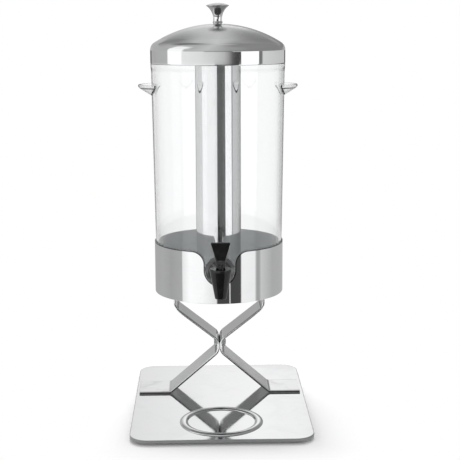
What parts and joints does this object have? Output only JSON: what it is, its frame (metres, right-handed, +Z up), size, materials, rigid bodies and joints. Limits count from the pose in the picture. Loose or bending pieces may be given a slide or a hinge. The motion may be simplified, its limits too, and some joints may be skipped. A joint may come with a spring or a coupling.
{
  "type": "juice dispenser",
  "caption": "Juice dispenser with a clear round tank, steel ice tube, domed lid and black lever tap, held in a notched steel holder on crossed strip legs and a flat base plate.",
  "frame": {"origin": "middle of the base plate, on the surface that the feet stand on", "axes": "+Z up along the tank, +X to the right as seen from the tap, the tap faces -Y"},
  "size_m": [0.218, 0.288, 0.5073],
  "materials": {
    "polished_steel": "mirror-polished stainless sheet",
    "leg_steel": "fine satin polish along the strip",
    "steel_hardware": "plain machined fasteners",
    "clear_plastic": "clear moulded polycarbonate",
    "clear_silicone": "milky silicone",
    "black_rubber": "matte moulded rubber",
    "black_plastic": "moulded with a soft gloss",
    "grey_plastic": "dark moulded plastic"
  },
  "bodies": {
    "stand": {"base_plate": "polished_steel", "base_feet": "black_rubber", "glass_ring": "polished_steel", "left_leg": "leg_steel", "right_leg": "leg_steel", "tab_screws": "steel_hardware", "cross_bolt": "steel_hardware", "cross_nut": "steel_hardware", "holder_band": "polished_steel", "holder_floor": "leg_steel", "holder_screws": "steel_hardware", "holder_nuts": "steel_hardware", "holder_pad": "clear_silicone"},
    "tank": {"tank": "clear_plastic", "rim_seal": "clear_silicone", "ice_tube": "polished_steel", "ice_tube_seal": "clear_silicone", "ice_tube_washer": "steel_hardware", "ice_tube_nut": "steel_hardware", "tap_body": "black_plastic", "tap_collar": "grey_plastic", "tap_outer_gasket": "black_rubber", "tap_inner_gasket": "black_rubber", "tap_nut": "black_plastic", "tap_bonnet": "black_plastic", "tap_spring": "steel_hardware"},
    "stem": {"tap_stem": "grey_plastic", "seat_cup": "black_rubber", "lever_pin": "steel_hardware"},
    "lever": {"tap_lever": "black_plastic"},
    "lid": {"lid_shell": "polished_steel", "lid_knob": "polished_steel", "knob_screw": "steel_hardware", "knob_washer": "steel_hardware"}
  },
  "joints": [
    {"name": "tank_lift", "type": "slide", "parent": "stand", "child": "tank", "axis": [0, 0, 1], "range_m": [0, 0.1]},
    {"name": "lid_lift", "type": "slide", "parent": "tank", "child": "lid", "axis": [0, 0, 1], "range_m": [0, 0.12]},
    {"name": "stem_lift", "type": "slide", "parent": "tank", "child": "stem", "axis": [0, 0, 1], "range_m": [0, 0.0035], "stiffness_N_per_m": 110, "springref_m": -0.002, "deforming": ["tap_spring"]},
    {"name": "lever_tilt", "type": "hinge", "parent": "stem", "child": "lever", "pos_m": [0, -0.08302, 0.2031], "axis": [1, 0, 0], "range_deg": [0, 40]}
  ],
  "couplings": [
    {"joint": "lever_tilt", "follows": "stem_lift", "rad_per_m": 199.47}
  ]
}
